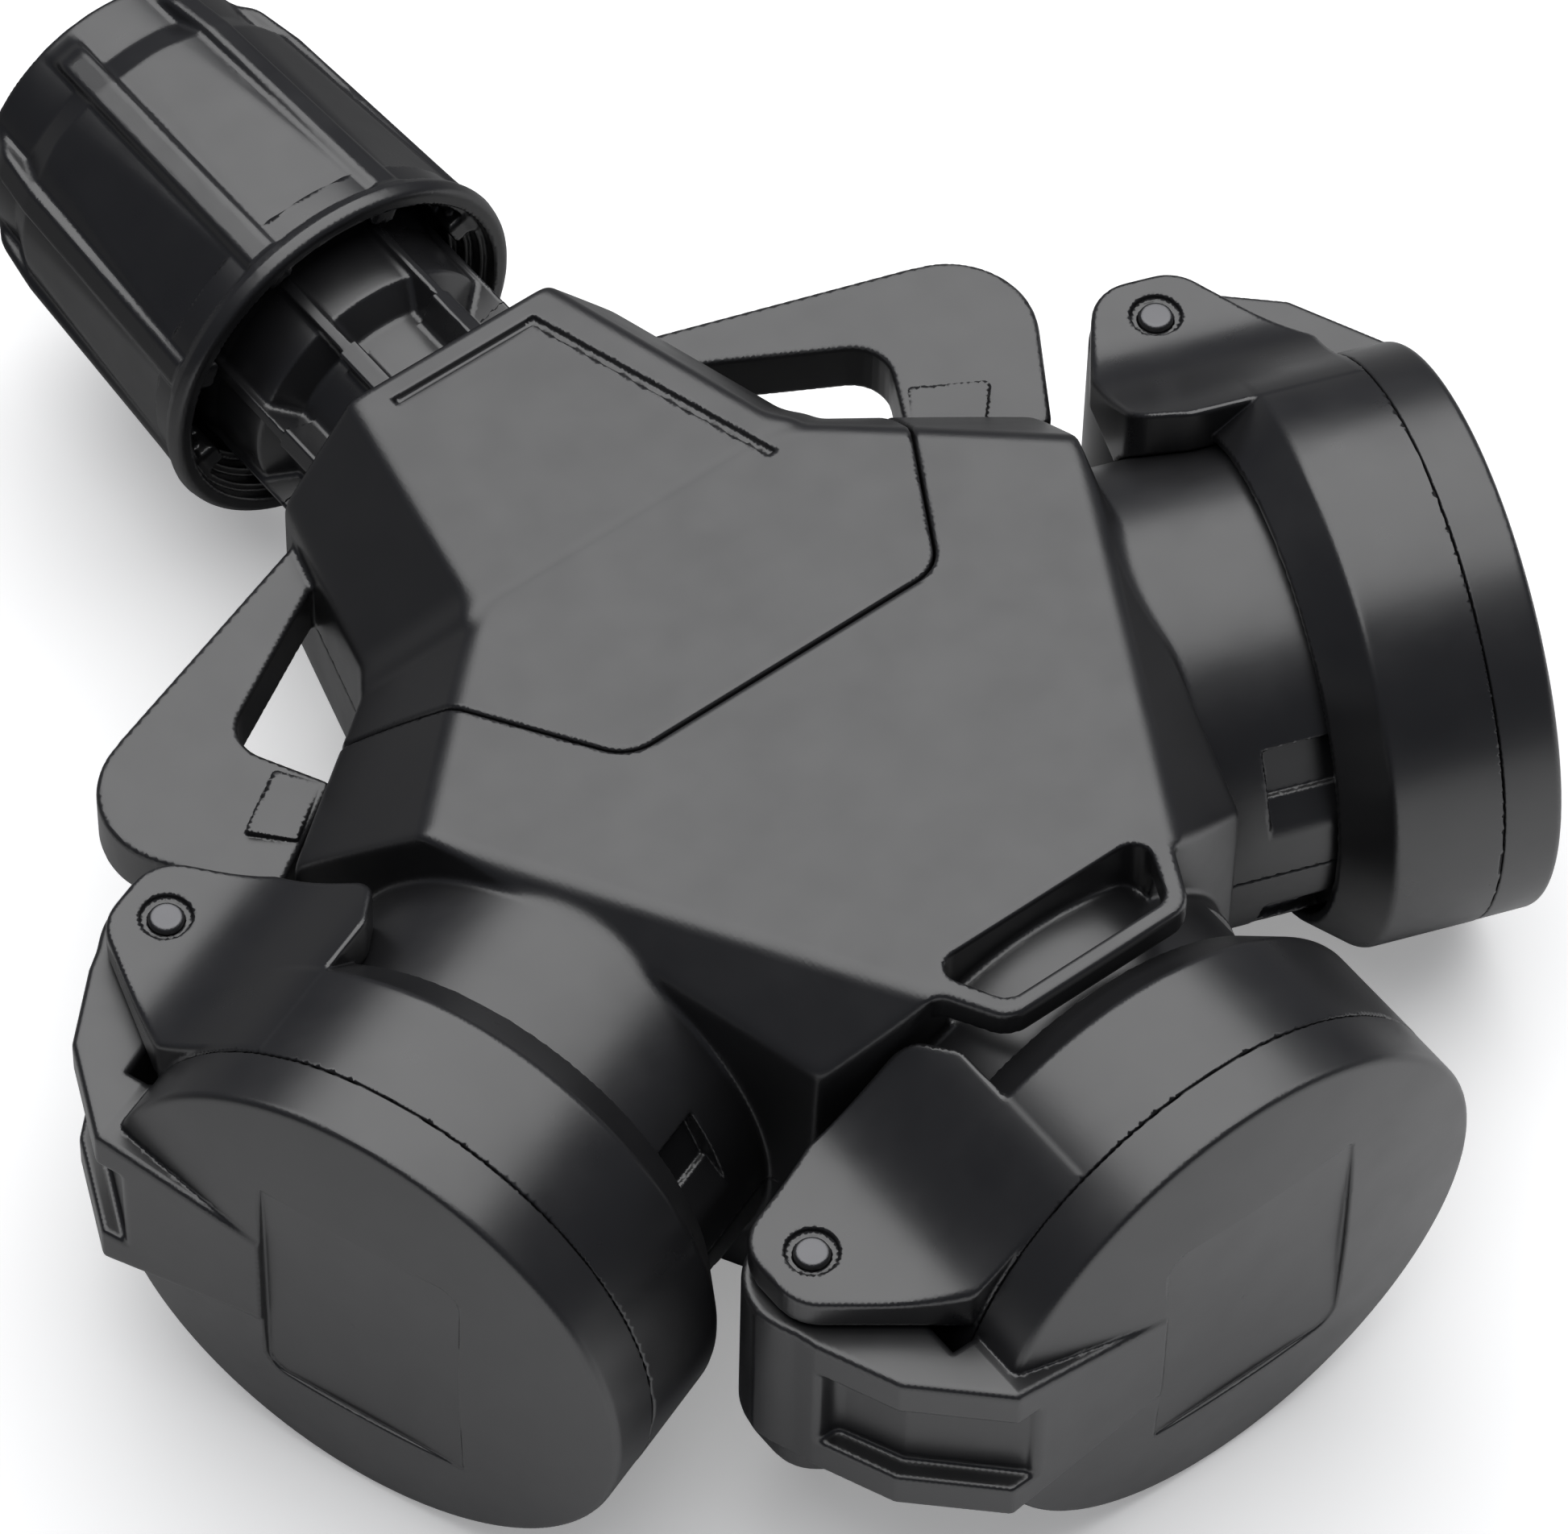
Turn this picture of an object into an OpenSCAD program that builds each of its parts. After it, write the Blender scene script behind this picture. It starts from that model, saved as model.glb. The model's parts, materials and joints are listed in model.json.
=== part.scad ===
// Three-way portable socket splitter: a faceted two-part housing with hanging loops,
// three sockets under sprung lids, and a ribbed cable gland.
// +X right, +Y toward the cable gland, +Z up. The origin is on the resting face,
// below the point where the three socket axes meet.

/* [Housing] */
// Height of the socket axes above the resting face
axis_z = 31; // [31:0.5:33]
// Height of the top plate above the point where the axes meet
top_z = 56.7; // [56:0.1:58]
// Fall of the top plate toward the cable gland, in degrees
top_slope = 5.1; // [4:0.1:6]
// Height where the upright walls turn into the sloped upper facets
wall_top_z = 41; // [40:0.5:43]
// Thickness of the moulded walls
wall = 3; // [2.5:0.1:3.5]
// Y of the rear end face, where the gland leaves
rear_y = 54.8; // [54:0.2:56]

/* [Sockets] */
// Angle between the front socket and each side socket
socket_angle = 70; // [68:1:72]
// Distance of the side end faces from the hub point
end_face = 39.6; // [39:0.1:40]
// Outer radius of the necks that carry the sockets
neck_r = 25; // [24.6:0.1:25.1]
// Radius of the plug well, for a type F (CEE 7/3) plug
well_r = 19.75; // [19.5:0.05:20]
// Depth of the plug well
well_depth = 17; // [16:0.5:17.5]
// Distance between the two pin holes
pin_pitch = 19; // [18.9:0.1:19.1]
// Outer radius of the collars and lids
lid_r = 30.5; // [30:0.1:30.8]

/* [Hinges] */
// Distance of each hinge pin from its socket axis
hinge_x = 37.1; // [37:0.1:38]
// Distance of each hinge pin from the hub point, along the socket axis
hinge_a = 54.6; // [54:0.1:55]
// Radius of the hinge pins
hinge_pin_r = 1.85; // [1.5:0.05:2]

/* [Gland] */
// Radius of the front ring of the gland nut
nut_r = 22.2; // [21.6:0.1:22.6]
// Y of the front face of the gland nut
nut_y = 73.5; // [73:0.5:76]
// Number of grip ribs on the gland nut
nut_ribs = 8; // [6:1:10]
// Radius of the hole in the cable seal
cable_r = 6.5; // [4:0.5:6.5]

/* [Hidden] */
$fn = 64;
EPS = 0.02;
GAP = 0.2;              // gap between fixed neighbours
RUN = 0.05;             // radial clearance of a running fit

// Corners of the top plate and of the upright walls, right half
rear_top = [12.7, rear_y];
waist_top = [20, 23.3];
shoulder_top = [42, 2.5];
chin_top = [15.1, -46.1];
nose_top = [11.35, -52.7];
rear_mid = [21.6, rear_y];
waist_mid = [28.3, 31];
shoulder_mid = [48.3, 16.5];
chin_mid = [27, -42.4];
chin_wall_z = 52.3;
wall_low_z = 2 * axis_z - wall_top_z;

// The seam between the front housing and the rear cover
seam = [[19.7, -2.3], [29.3, 14], [36.5, 28], [90, 28]];

// Along each socket axis, measured from the hub point
collar_back = 53;
collar_shoulder = 57.7;
collar_front = 69.3;
lid_back = 69.5;
lid_rim = 75.4;
lid_crown = 78.2;
insert_front = 68.5;
well_floor = insert_front - well_depth;
insert_back = well_floor - 3;
insert_r = 21.9;
neck_in_r = 22.2;
neck_end = 59.6;
lug_high = 15.24;
lug_low = 11.24;
web_fillet_r = 6;
// Where the fillet between the ring and the lug's face begins
web_end = sqrt(pow(lid_r + web_fillet_r - 0.2, 2) - pow(lug_high + web_fillet_r, 2));
arm_half = 10.9;
knuckle_r = 6.9;
arm_front = 78.2;
arm_root = 10.5;
panel_half = 15.7;

// Hanging loops, right one
loop_z = axis_z;
loop_h = 7;

// Gland
gland_flange_r = 15;
gland_core_r = 12;
thread_r = 16.5;
gland_end = 94;
seal_y = 70;
seal_len = 10.3;
seal_r = 13.5;
ring_y = 107;
nut_panel_y = 81;
nut_end = 118;

// Screws that hold the two halves together
screw_r = 1.75;
rear_screw = [11.5, 40.3];
waist_screw = [31, 9];
chin_screw = [20, -29];

// Levels of the three busbars
bar_t = 1.5;
bar_w = 5;
phase_z = axis_z + 3.6;
neutral_z = axis_z - 3.6 - bar_t;
earth_z = 14;
sleeve_r = 4;
sleeve_back = 36;
terminal_y = 25;
terminal_top = 43;
terminal_screw_r = 2.05;
clip_back = insert_back - 2;
// Place across the terminal block, and level, of each busbar's tail
tails = [[8, phase_z], [-8, neutral_z], [0, earth_z]];

function flip(p) = [-p[0], p[1]];
function both(right) = concat(right, [for (i = [len(right) - 1:-1:0]) flip(right[i])]);

// ---- frames ----

// Places a shape made in a socket's own frame: X toward the hinge, Y up, Z outward
module at_socket(side) {
    translate([0, 0, axis_z])
        if (side == "right") rotate([90, 0, socket_angle]) children();
        else if (side == "left") mirror([1, 0, 0]) rotate([90, 0, socket_angle]) children();
        else mirror([1, 0, 0]) rotate([90, 0, 0]) children();
}

// Places a shape made along Z onto the gland axis, so that its Z becomes the row's Y
module at_gland() translate([0, 0, axis_z]) rotate([-90, 0, 0]) children();

// Extrudes a plan outline, drawn as X and Z of the socket frame, between two heights
module plan_slab(low, high) translate([0, high, 0]) rotate([90, 0, 0])
    linear_extrude(high - low) children();

module both_sides() {
    children();
    mirror([1, 0, 0]) children();
}

// ---- housing ----

module thin_sheet(points, inset) linear_extrude(EPS) offset(delta = -inset) polygon(both(points));

module top_sheet(points, inset)
    translate([0, 0, top_z - inset - EPS]) rotate([-top_slope, 0, 0]) thin_sheet(points, inset);

module walls(points, inset, low, high)
    translate([0, 0, low]) linear_extrude(high - low) offset(delta = -inset) polygon(both(points));

module chin_posts(inset) both_sides()
    translate([chin_mid[0] - inset, chin_mid[1] + inset, axis_z])
        cube([EPS, EPS, chin_wall_z - axis_z - inset]);

module upper_main(inset) hull() {
    top_sheet([waist_top, shoulder_top, chin_top], inset);
    walls([waist_mid, shoulder_mid, chin_mid], inset, axis_z, wall_top_z);
    chin_posts(inset);
}

module upper_rear(inset, overlap = 0) hull() {
    top_sheet([rear_top, waist_top - [0, overlap]], inset);
    walls([rear_mid, waist_mid - [0, overlap]], inset, axis_z, wall_top_z);
}

module lower_main(inset) hull() {
    translate([0, 0, inset]) thin_sheet([waist_top, shoulder_top, chin_top], inset);
    walls([waist_mid, shoulder_mid, chin_mid], inset, wall_low_z, axis_z);
}

module lower_rear(inset, overlap = 0) hull() {
    translate([0, 0, inset]) thin_sheet([rear_top, waist_top - [0, overlap]], inset);
    walls([rear_mid, waist_mid - [0, overlap]], inset, wall_low_z, axis_z);
}

// Upright region behind the seam, wide enough to cut the whole housing
module behind_seam(grow) translate([0, 0, -1])
    linear_extrude(80) offset(delta = grow) polygon(both(concat([[0, seam[0][1]]], seam, [[90, 90]])));

module half_space(upper) translate([-100, -100, upper ? axis_z : axis_z - 80]) cube([200, 200, 80]);

// The part of each neck that belongs to one half of the housing
module necks(upper) intersection() {
    union() for (side = ["right", "left", "front"]) at_socket(side)
        translate([0, 0, end_face - wall]) cylinder(r = neck_r, h = neck_end - end_face + wall);
    half_space(upper);
}

module neck_bores() for (side = ["right", "left", "front"]) at_socket(side)
    translate([0, 0, end_face - wall - 3]) cylinder(r = neck_in_r, h = 30);

// Snap windows near the end of each neck, on the side away from the hinge
module neck_windows() for (side = ["right", "left", "front"]) at_socket(side)
    for (tilt = [155, 205]) rotate([0, 0, tilt])
        translate([neck_r - 1.6, -5.2, 46.2]) cube([4, 10.4, 7.5]);

// Thin lip of the top plate that bridges the front neck
module nose_lip() intersection() {
    translate([0, 0, top_z]) rotate([-top_slope, 0, 0]) translate([0, 0, -3.6]) linear_extrude(3.6)
        polygon(both([chin_top + [-1, 8], chin_top + [-0.2, 0.6], nose_top]));
    half_space(true);
}

module nose_pocket() translate([0, 0, axis_z + neck_r + 0.3]) linear_extrude(30)
    polygon(both([[12.6, -43.2], [9.2, -50.4]]));

module screw_bosses(upper, points) for (p = points) both_sides()
    translate([p[0], p[1], upper ? axis_z : 1])
    cylinder(r = 4.2, h = upper ? 40 : axis_z - 1);

module screw_holes(points) for (p = points) both_sides() translate([p[0], p[1], -1]) {
    cylinder(r = screw_r + RUN, h = axis_z + 13);
    cylinder(r = 3.7, h = 7);
}

module gland_seat() at_gland() {
    translate([0, 0, rear_y - wall - 5]) cylinder(r = gland_flange_r + RUN, h = 5);
    translate([0, 0, rear_y - 10]) cylinder(r = gland_core_r + RUN, h = 20);
}

// Ribs inside the rear end that hold the gland's flange from the front
module gland_cradle(upper) intersection() {
    at_gland() translate([0, 0, rear_y - wall - 7]) difference() {
        cylinder(r = 19, h = 7);
        translate([0, 0, -1]) cylinder(r = gland_core_r + RUN, h = 9);
    }
    half_space(upper);
    if (upper) upper_rear(wall / 2); else lower_rear(wall / 2);
}

module front_housing() color([0.20, 0.20, 0.21]) difference() {
    union() {
        difference() {
            union() {
                upper_main(0);
                necks(true);
            }
            upper_main(wall);
            neck_bores();
        }
        nose_lip();
        intersection() {
            screw_bosses(true, [waist_screw, chin_screw]);
            upper_main(wall / 2);
        }
    }
    nose_pocket();
    behind_seam(0);
    screw_holes([waist_screw, chin_screw]);
    neck_windows();
    at_gland() cylinder(r = 8, h = rear_y);
    latch_tongues(GAP);
}

// Flat triangular loop with a rounded outer corner and a rounded triangular hole
module loop_outline() difference() {
    union() {
        translate([49.6, 32.6]) circle(r = 9.6);
        polygon([[23.5, 44], [22.4, 51.9], [52.3, 41.9], [57.7, 27.4], [50.6, 16.6], [46, 18.4],
            [33, 27.8]]);
    }
    translate([39, 34.1]) circle(r = 3.2);
    polygon([[20, 48], [24, 46.2], [28, 44], [40.6, 36.9], [41.8, 32.6], [37.6, 24.9], [33, 28],
        [20, 37.4]]);
}

module latch_tongues(grow) both_sides() translate([0, 0, loop_z + 1.5 - grow])
    linear_extrude(3.4 + 2 * grow)
    offset(delta = grow) polygon([[37.4, 25.6], [43.6, 21], [41.9, 18.6], [35.7, 23.2]]);

module latch_ramps() both_sides() translate([0, 0, loop_z + loop_h - EPS]) linear_extrude(1)
    polygon([[38.6, 25], [44.8, 20.4], [48.6, 24.4], [41.4, 29.2]]);

module hanging_loops() {
    both_sides() translate([0, 0, loop_z]) linear_extrude(loop_h) difference() {
        loop_outline();
        offset(delta = GAP) polygon(both([waist_mid, shoulder_mid, chin_mid]));
    }
    both_sides() translate([0, 0, loop_z]) linear_extrude(loop_h) polygon([[22.4, 51.9],
        [27, 50.2], [25.6, 42], [23, 43]]);
    latch_tongues(0);
    latch_ramps();
}

module rear_cover() color([0.20, 0.20, 0.21]) difference() {
    union() {
        intersection() {
            difference() {
                union() {
                    upper_main(0);
                    upper_rear(0);
                    hanging_loop_roots();
                }
                upper_main(wall);
                upper_rear(wall, 8);
            }
            behind_seam(-GAP / 2);
        }
        hanging_loops();
        gland_cradle(true);
        intersection() {
            screw_bosses(true, [rear_screw]);
            upper_rear(wall / 2);
        }
    }
    gland_seat();
    screw_holes([rear_screw]);
    cover_grooves();
}

// Short wall stretch that joins each loop to the cover
module hanging_loop_roots() both_sides() translate([0, 0, loop_z]) linear_extrude(loop_h)
    polygon([[25, 33.5], waist_mid, [34, 27.2], [33.2, 29], [27.6, 33]]);

// Raised-frame groove along the rear edge and the right edge of the top plate
module cover_grooves() translate([0, 0, top_z]) rotate([-top_slope, 0, 0]) translate([0, 0, -0.6])
    linear_extrude(3) {
        translate([-9.3, 51.2]) square([18, 0.9]);
        polygon([[8.2, 52.1], [9.2, 52.1], [17, 21.2], [16.1, 21]]);
    }

module lower_housing() color([0.19, 0.19, 0.20]) difference() {
    union() {
        difference() {
            union() {
                lower_main(0);
                lower_rear(0);
                necks(false);
            }
            lower_main(wall);
            lower_rear(wall, 8);
            neck_bores();
        }
        gland_cradle(false);
        intersection() {
            screw_bosses(false, [rear_screw, waist_screw, chin_screw]);
            union() {
                lower_main(0.5);
                lower_rear(0.5);
            }
        }
    }
    gland_seat();
    screw_holes([rear_screw, waist_screw, chin_screw]);
    neck_windows();
    seal_track(0.1);
}

// Flat cord of rubber in a groove along the parting plane, on both long sides
module seal_track(grow) both_sides() translate([0, 0, axis_z - 1.2 - grow]) linear_extrude(1.2 + grow)
    polygon([[20.1 - grow, 50], [26.5 - grow, 31.2], [45.5, 17.3 - grow], [46.3, 18.1 + grow],
        [27.4 + grow, 31.8], [21.1 + grow, 50]]);

module housing_seal() color([0.06, 0.06, 0.06]) seal_track(0);

module housing_screws() color([0.75, 0.76, 0.78])
    for (p = [rear_screw, waist_screw, chin_screw]) both_sides() translate([p[0], p[1], 0]) difference() {
        union() {
            translate([0, 0, 3.2]) cylinder(r = 3.4, h = 2.8);
            translate([0, 0, 5]) cylinder(r = screw_r, h = axis_z + 5);
        }
        translate([-2.2, -0.5, 3]) cube([4.4, 1, 1.4]);
        translate([-0.5, -2.2, 3]) cube([1, 4.4, 1.4]);
    }

// ---- socket collars ----

module lug_outline() hull() {
    translate([hinge_x, hinge_a]) circle(r = 5.3);
    translate([29.9, 48.4]) circle(r = 3);
    translate([26.4, 46.9]) circle(r = 1.5);
    translate([27.3, 66]) circle(r = 3);
    translate([22.5, 66.8]) circle(r = 2);
    translate([25.9, 54]) circle(r = 1);
}

// Section of the web that carries a lug up onto the ring, X toward the hinge and Y up
module web_section() difference() {
    union() {
        intersection() {
            circle(r = lid_r, $fn = 96);
            translate([15, lug_low]) square([20, 20]);
        }
        polygon([[20, lug_low], [web_end, lug_low], [web_end, lug_high], [25, 17.6], [20, 19]]);
    }
    circle(r = neck_r + 0.15, $fn = 96);
    translate([web_end, lug_high + web_fillet_r]) circle(r = web_fillet_r);
}

module webs() for (flip_y = [0, 1]) mirror([0, flip_y, 0]) intersection() {
    translate([0, 0, 40]) linear_extrude(collar_front - 40) web_section();
    plan_slab(lug_low, lid_r) polygon([[15.7, 70], [15.7, 49.3], [17.8, 46.6], [20.5, 45.4],
        [web_end + 1, 45.4], [web_end + 1, 70]]);
}

module collar(side) color([0.21, 0.21, 0.22]) at_socket(side) difference() {
    union() {
        rotate_extrude($fn = 96) polygon([[neck_r + 0.15, collar_back], [26.5, collar_back],
            [lid_r, collar_shoulder], [lid_r, collar_front], [25.5, collar_front], [25.5, 66.5],
            [22.3, 66.5], [22.3, neck_end + GAP], [neck_r + 0.15, neck_end + GAP]]);
        for (low = [lug_low, -lug_high]) plan_slab(low, low + lug_high - lug_low) difference() {
            lug_outline();
            translate([0, 40]) square([neck_r + 0.15, collar_shoulder - 40]);
            translate([0, 40]) square([22.6, 40]);
        }
        webs();
    }
    translate([hinge_x, 0, hinge_a]) rotate([90, 0, 0]) {
        cylinder(r = hinge_pin_r, h = 60, center = true);
        cylinder(r = knuckle_r + 0.5, h = 2 * lug_low, center = true);
        for (end = [lug_high, -lug_high]) translate([0, 0, end]) difference() {
            cylinder(r = 2.7, h = 1.6, center = true);
            cylinder(r = hinge_pin_r, h = 2, center = true);
        }
    }
    // the plug-side wall opens where the lid's arm swings past
    translate([29.4, -lug_low, collar_back - 1]) cube([4, 2 * lug_low, 20]);
}

module hinge_pin(side) color([0.16, 0.16, 0.17]) at_socket(side)
    translate([hinge_x, 0, hinge_a]) rotate([90, 0, 0])
        cylinder(r = hinge_pin_r, h = 2 * lug_high, center = true);

// Torsion spring, as a stack of closed turns on the pin inside the knuckle
module lid_spring(side) color([0.7, 0.7, 0.72]) at_socket(side)
    translate([hinge_x, 0, hinge_a]) rotate([90, 0, 0]) for (turn = [-3:3])
        translate([0, 0, turn * 1.05]) rotate_extrude($fn = 48) translate([2.9, 0])
            circle(r = 0.55, $fn = 16);

// ---- lids ----

function crown(r) = lid_crown - (lid_crown - lid_rim - 0.4) * pow(r / 29.6, 2);

module lid_cap() rotate_extrude($fn = 96)
    polygon(concat([for (r = [0:4.2:29.4]) [r, crown(r)]],
        [[30.1, lid_rim], [30.35, lid_rim - 0.5], [lid_r, lid_back + 0.5], [lid_r, lid_back],
            [27.5, lid_back],
         [27.5, 73], [0, 73]]));

module lid_arm() plan_slab(-arm_half, arm_half) union() {
    translate([hinge_x, hinge_a]) circle(r = knuckle_r);
    polygon([[arm_root, 74], [arm_root, 78], [29.8, arm_front], [38.2, 70], [42, 61.5], [43.9, 56],
        [hinge_x, hinge_a], [31.4, 57], [31.4, 69.8], [28.4, 69.8], [28.4, 74]]);
}

module lid(side) color([0.22, 0.22, 0.23]) at_socket(side) difference() {
    union() {
        lid_cap();
        lid_arm();
    }
    // flat panel sunk into the domed face
    translate([-12.8, -panel_half, 77.2]) cube([12.8 + arm_root, 2 * panel_half, 3]);
    // finger grip across the outer facets
    plan_slab(-6, 6) polygon([[44, 61.9], [39.4, 61.9], [36.2, 68.9], [27.6, 77.4], [26, 80],
        [34, 80], [46, 68]]);
    // taper of the arm's face toward the panel
    for (flip_y = [0, 1]) mirror([0, flip_y, 0]) translate([arm_root - 1, 7, 75.6]) rotate([0, 0, 10])
        cube([24, 8, 3]);
    translate([hinge_x, 0, hinge_a]) rotate([90, 0, 0]) {
        cylinder(r = hinge_pin_r + RUN, h = 40, center = true);
        cylinder(r = 4.2, h = 9, center = true);
    }
}

module lid_gasket(side) color([0.05, 0.05, 0.05]) at_socket(side) rotate_extrude($fn = 64)
    polygon([[20, 73], [20, 68.7], [21.2, 68.7], [21.8, 69.4], [22.6, 69.4], [23.2, 68.7],
        [24, 68.7], [24, 73]]);

// ---- socket interiors ----

module socket_insert(side) color([0.10, 0.10, 0.11]) at_socket(side) difference() {
    union() {
        rotate_extrude($fn = 96) polygon([[0, insert_back], [insert_r, insert_back],
            [insert_r, insert_front],
            [well_r, insert_front], [well_r, well_floor], [0, well_floor]]);
        for (x = [-1, 1] * pin_pitch / 2) translate([x, 0, sleeve_back + 2])
            cylinder(r = sleeve_r + 1.4, h = insert_back - sleeve_back - 2 + EPS);
    }
    for (x = [-1, 1] * pin_pitch / 2) {
        translate([x, 0, insert_back]) cylinder(r = 2.7, h = 10);
        translate([x, 0, sleeve_back]) cylinder(r = sleeve_r + RUN, h = insert_back - sleeve_back);
    }
    for (y = [-1, 1]) translate([0, y * 18.8, well_floor - 2]) cube([7, 1.4, 6], center = true);
}

module earth_clip(side) color([0.72, 0.62, 0.38]) at_socket(side) union() {
    for (y = [-1, 1]) {
        translate([-2.5, y > 0 ? 18.3 : -19.3, clip_back]) cube([5, 1, 19]);
        translate([0, y * 18.3, clip_back + 16]) rotate([0, 90, 0])
            cylinder(r = 1.1, h = 5, center = true);
    }
    translate([-2.5, -19.3, clip_back]) cube([5, 38.6, 1.2]);
}

// ---- busbars: one arm to each socket and a tail to the terminal block ----

// x of the sleeve in the socket frame, then its place in plan
function sleeve_at(side, x) = side == "front" ? [-x, -sleeve_back]
    : (side == "left" ? -1 : 1) * [1, 0] * (sleeve_back * sin(socket_angle) + x * cos(socket_angle))
      + [0, 1] * (x * sin(socket_angle) - sleeve_back * cos(socket_angle));

module strip(from, to, width) hull() {
    translate(from) circle(d = width, $fn = 24);
    translate(to) circle(d = width, $fn = 24);
}

module bar(z, x, tail_x) {
    translate([0, 0, z]) linear_extrude(bar_t) {
        for (side = ["right", "left", "front"]) strip([tail_x, 0], sleeve_at(side, x), bar_w);
        translate([tail_x - bar_w / 2, 0]) square([bar_w, terminal_y + 4]);
    }
    for (side = ["right", "left", "front"]) at_socket(side) translate([x, 0, sleeve_back - 2])
        difference() {
        cylinder(r = sleeve_r, h = insert_back - sleeve_back + 2);
        translate([0, 0, 2]) cylinder(r = 2.45, h = 20);
    }
}

module phase_bar() color([0.78, 0.60, 0.28]) bar(phase_z, pin_pitch / 2, 8);
module neutral_bar() color([0.78, 0.60, 0.28]) bar(neutral_z, -pin_pitch / 2, -8);

module earth_bar() color([0.78, 0.60, 0.28]) {
    translate([0, 0, earth_z]) linear_extrude(bar_t) {
        for (side = ["right", "left", "front"]) strip([0, 0], side == "front" ? [0, -clip_back + 2.6]
            : (clip_back - 2.6) * [(side == "left" ? -1 : 1) * sin(socket_angle), -cos(socket_angle)],
            bar_w);
        translate([-bar_w / 2, 0]) square([bar_w, terminal_y + 4]);
    }
    for (side = ["right", "left", "front"]) at_socket(side)
        translate([-2.5, earth_z - axis_z, clip_back - 2.6]) cube([5, 6, 2.6]);
}

module terminal_block() color([0.85, 0.84, 0.78]) difference() {
    translate([-13, terminal_y - 1, 10]) cube([26, 12, terminal_top - 10]);
    for (tail = tails) {
        translate([tail[0] - bar_w / 2 - RUN, terminal_y - 2, tail[1] - RUN])
            cube([bar_w + 2 * RUN, 9, bar_t + 2 * RUN]);
        translate([tail[0], terminal_y + 3, tail[1]]) cylinder(r = terminal_screw_r + RUN, h = 40);
        translate([tail[0], terminal_y + 6.9, tail[1] + 2]) rotate([-90, 0, 0]) cylinder(r = 2, h = 10);
    }
}

module terminal_screws() color([0.72, 0.72, 0.70]) for (tail = tails)
    translate([tail[0], terminal_y + 3, 0])
    difference() {
        translate([0, 0, tail[1] + bar_t + GAP])
            cylinder(r = terminal_screw_r, h = terminal_top - tail[1] - bar_t - 1);
        translate([-3, -0.4, terminal_top - 1.6]) cube([6, 0.8, 2]);
    }

// ---- cable gland ----

module gland_body() color([0.18, 0.18, 0.19]) at_gland() difference() {
    union() {
        rotate_extrude($fn = 96) polygon([[8, rear_y - wall - 4.9], [gland_flange_r, rear_y - wall - 4.9],
            [gland_flange_r, rear_y - wall - 0.1], [gland_core_r, rear_y - wall - 0.1],
            [gland_core_r, seal_y - 4], [seal_r + 1.6, seal_y - 1.5], [seal_r + 1.6, seal_y + 5],
            [thread_r, seal_y + 6.3], [thread_r, gland_end], [8, gland_end]]);
        for (i = [0:7]) rotate([0, 0, 22.5 + 45 * i]) translate([0, -0.9, rear_y + 0.6])
            cube([15.6, 1.8, 20]);
    }
    translate([0, 0, seal_y]) cylinder(r = seal_r + RUN, h = 60, $fn = 96);
}

module cable_seal() color([0.04, 0.04, 0.04]) at_gland() rotate_extrude($fn = 96)
    polygon([[cable_r, seal_y], [seal_r, seal_y], [seal_r, seal_y + seal_len],
        [cable_r, seal_y + seal_len]]);

module clamp_ring() color([0.12, 0.12, 0.13]) at_gland() difference() {
    rotate_extrude($fn = 96) polygon([[10.2, 93.5], [seal_r - 0.3, 93.5], [seal_r - 0.3, ring_y],
        [16, ring_y],
        [16, 111.8], [7.4, 111.8], [7.4, 108.5], [10.2, 106]]);
    for (i = [0:3]) rotate([0, 0, 45 * i]) translate([-20, -0.5, 90]) cube([40, 1, 14]);
}

module nut_rib() rotate([90, 0, 0]) translate([0, 0, -2]) linear_extrude(4)
    polygon([[16.9, 76], [nut_r - 0.7, 76], [nut_r - 1, 80], [nut_r - 2.4, 106], [nut_r - 3, 110],
        [17.9, 115], [17, nut_end], [15, nut_end], [15, 113], [16.9, 112]]);

// Flat panel between two ribs, running out to a point toward the rear
module nut_panel() translate([nut_r - 2.4, -6, nut_panel_y]) rotate([0, -2.5, 0]) cube([4, 12, 26]);

module gland_nut() color([0.20, 0.20, 0.21]) at_gland() union() {
    difference() {
        rotate_extrude($fn = 96) polygon([[20, nut_y], [nut_r - 0.6, nut_y], [nut_r, nut_y + 0.6],
            [nut_r, nut_y + 2.8], [nut_r - 1.6, nut_y + 4.6], [nut_r - 3.5, ring_y], [17.3, 112],
                [16.9, 117.6],
            [16.5, nut_end], [14.5, nut_end], [12, 115.5], [12, 112], [16.2, 112], [16.2, 108],
            [thread_r + RUN, 106], [thread_r + RUN, 80], [18.2, 79], [18.2, nut_y + 3.4],
                [19, nut_y + 2.7],
            [19, nut_y + 1.6], [20, nut_y + 1]]);
        for (i = [0:nut_ribs - 1]) rotate([0, 0, 360 / nut_ribs * i]) nut_panel();
    }
    for (i = [0:nut_ribs - 1]) rotate([0, 0, 360 / nut_ribs * (i + 0.5)]) nut_rib();
}

front_housing();
rear_cover();
lower_housing();
housing_seal();
housing_screws();
collar("right");  // collar_right
collar("left");  // collar_left
collar("front");  // collar_front
lid("right");  // lid_right
lid("left");  // lid_left
lid("front");  // lid_front
lid_gasket("right");  // lid_gasket_right
lid_gasket("left");  // lid_gasket_left
lid_gasket("front");  // lid_gasket_front
hinge_pin("right");  // hinge_pin_right
hinge_pin("left");  // hinge_pin_left
hinge_pin("front");  // hinge_pin_front
lid_spring("right");  // lid_spring_right
lid_spring("left");  // lid_spring_left
lid_spring("front");  // lid_spring_front
socket_insert("right");  // socket_insert_right
socket_insert("left");  // socket_insert_left
socket_insert("front");  // socket_insert_front
earth_clip("right");  // earth_clip_right
earth_clip("left");  // earth_clip_left
earth_clip("front");  // earth_clip_front
phase_bar();
neutral_bar();
earth_bar();
terminal_block();
terminal_screws();
gland_body();
cable_seal();
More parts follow.
